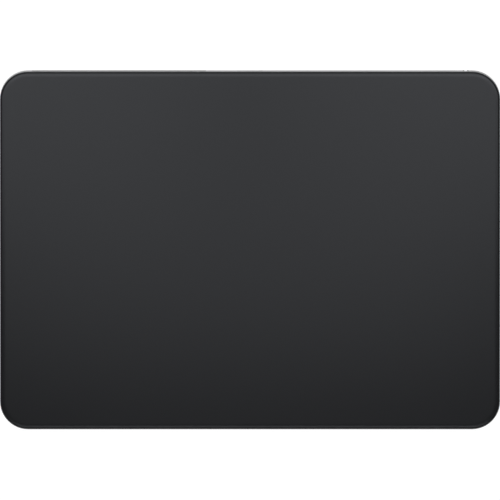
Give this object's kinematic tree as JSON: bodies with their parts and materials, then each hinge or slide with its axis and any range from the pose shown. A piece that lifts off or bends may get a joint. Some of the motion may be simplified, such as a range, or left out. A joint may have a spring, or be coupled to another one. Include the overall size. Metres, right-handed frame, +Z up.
{
  "type": "trackpad",
  "caption": "Flat wedge-shaped wireless trackpad with a black glass touch surface in a thin aluminium tray, a socket, a power switch and an antenna window in its rear face.",
  "frame": {"origin": "on the desk under the middle of the part", "axes": "+X to the user's right, +Y to the rear edge, +Z up from the desk"},
  "size_m": [0.16, 0.115, 0.0108],
  "materials": {
    "anodised_body": "fine bead-blasted and clear anodised",
    "underside_plate": "fine satin texture",
    "clear_film": "thin adhesive film",
    "black_glass": "micro-etched satin glass over black print",
    "black_film": "black adhesive film",
    "sensor_board": "dark green solder mask",
    "plain_aluminium": "rolled sheet",
    "steel": "stamped sheet",
    "spring_steel": "brushed spring sheet",
    "screw_steel": "turned and plated",
    "tinned_steel": "tin-plated sheet",
    "socket_steel": "drawn and nickel-plated",
    "core_iron": "laminated iron",
    "copper_wire": "enamelled copper winding",
    "gold_contact": "gold-plated",
    "battery_foil": "laminated pouch foil",
    "circuit_board": "solder mask",
    "flexible_circuit": "amber polyimide",
    "chip_resin": "moulded resin",
    "connector_resin": "moulded resin",
    "black_resin": "moulded resin",
    "slider_resin": "moulded resin",
    "grey_plastic": "fine satin texture",
    "knob_plastic": "satin metallic paint",
    "green_film": "printed film",
    "cable_jacket": "extruded jacket",
    "gel": "soft gel",
    "black_rubber": "moulded",
    "foot_rubber": "moulded, matt"
  },
  "bodies": {
    "base": {"enclosure": "anodised_body", "bottom_cover": "underside_plate", "cover_adhesive": "clear_film", "strain_gauges": "flexible_circuit", "beam_screws": "screw_steel", "force_cables": "flexible_circuit", "haptic_bracket": "steel", "haptic_cores": "core_iron", "haptic_coils": "copper_wire", "haptic_screws": "screw_steel", "haptic_cable": "flexible_circuit", "battery_cell": "battery_foil", "battery_adhesive": "clear_film", "battery_board": "circuit_board", "battery_cable": "flexible_circuit", "logic_board": "circuit_board", "logic_board_screws": "screw_steel", "wireless_shield": "tinned_steel", "power_shield": "tinned_steel", "board_chips": "chip_resin", "board_connectors": "connector_resin", "port_shell": "socket_steel", "port_tongue": "black_resin", "port_contacts": "gold_contact", "port_bracket": "steel", "port_screws": "screw_steel", "port_gasket": "black_rubber", "antenna_window": "grey_plastic", "antenna_flex": "flexible_circuit", "antenna_cable": "cable_jacket", "switch_housing": "black_resin", "switch_marker": "green_film", "switch_board": "circuit_board", "switch_screw": "screw_steel", "switch_cable": "flexible_circuit", "foot_front_left": "foot_rubber", "foot_front_right": "foot_rubber", "foot_rear_left": "foot_rubber", "foot_rear_right": "foot_rubber", "force_beam_front_left": "spring_steel", "force_beam_front_right": "spring_steel", "force_beam_rear_left": "spring_steel", "force_beam_rear_right": "spring_steel"},
    "isolators": {"isolator_pads": "gel"},
    "touch_plate": {"cover_glass": "black_glass", "glass_adhesive": "black_film", "touch_sensor_board": "sensor_board", "stiffener_plate": "plain_aluminium", "attraction_plate": "steel", "touch_controller_chips": "chip_resin", "touch_flex": "flexible_circuit"},
    "power_switch": {"switch_knob": "knob_plastic", "switch_slider": "slider_resin"}
  },
  "joints": [
    {"name": "surface_press", "type": "slide", "parent": "base", "child": "isolators", "axis": [0, 0.0524, -0.9986], "range_m": [0, 0.00015], "stiffness_N_per_m": 20000, "springref_m": -0.00006, "deforming": ["force_beam_front_left", "force_beam_front_right", "force_beam_rear_left", "force_beam_rear_right", "touch_flex"]},
    {"name": "haptic_shift", "type": "slide", "parent": "isolators", "child": "touch_plate", "axis": [0, 0.9986, 0.0524], "range_m": [-0.0001, 0.0001], "stiffness_N_per_m": 20000, "deforming": ["touch_flex"]},
    {"name": "power_switch_slide", "type": "slide", "parent": "base", "child": "power_switch", "axis": [1, 0, 0], "range_m": [-0.0026, 0]}
  ]
}
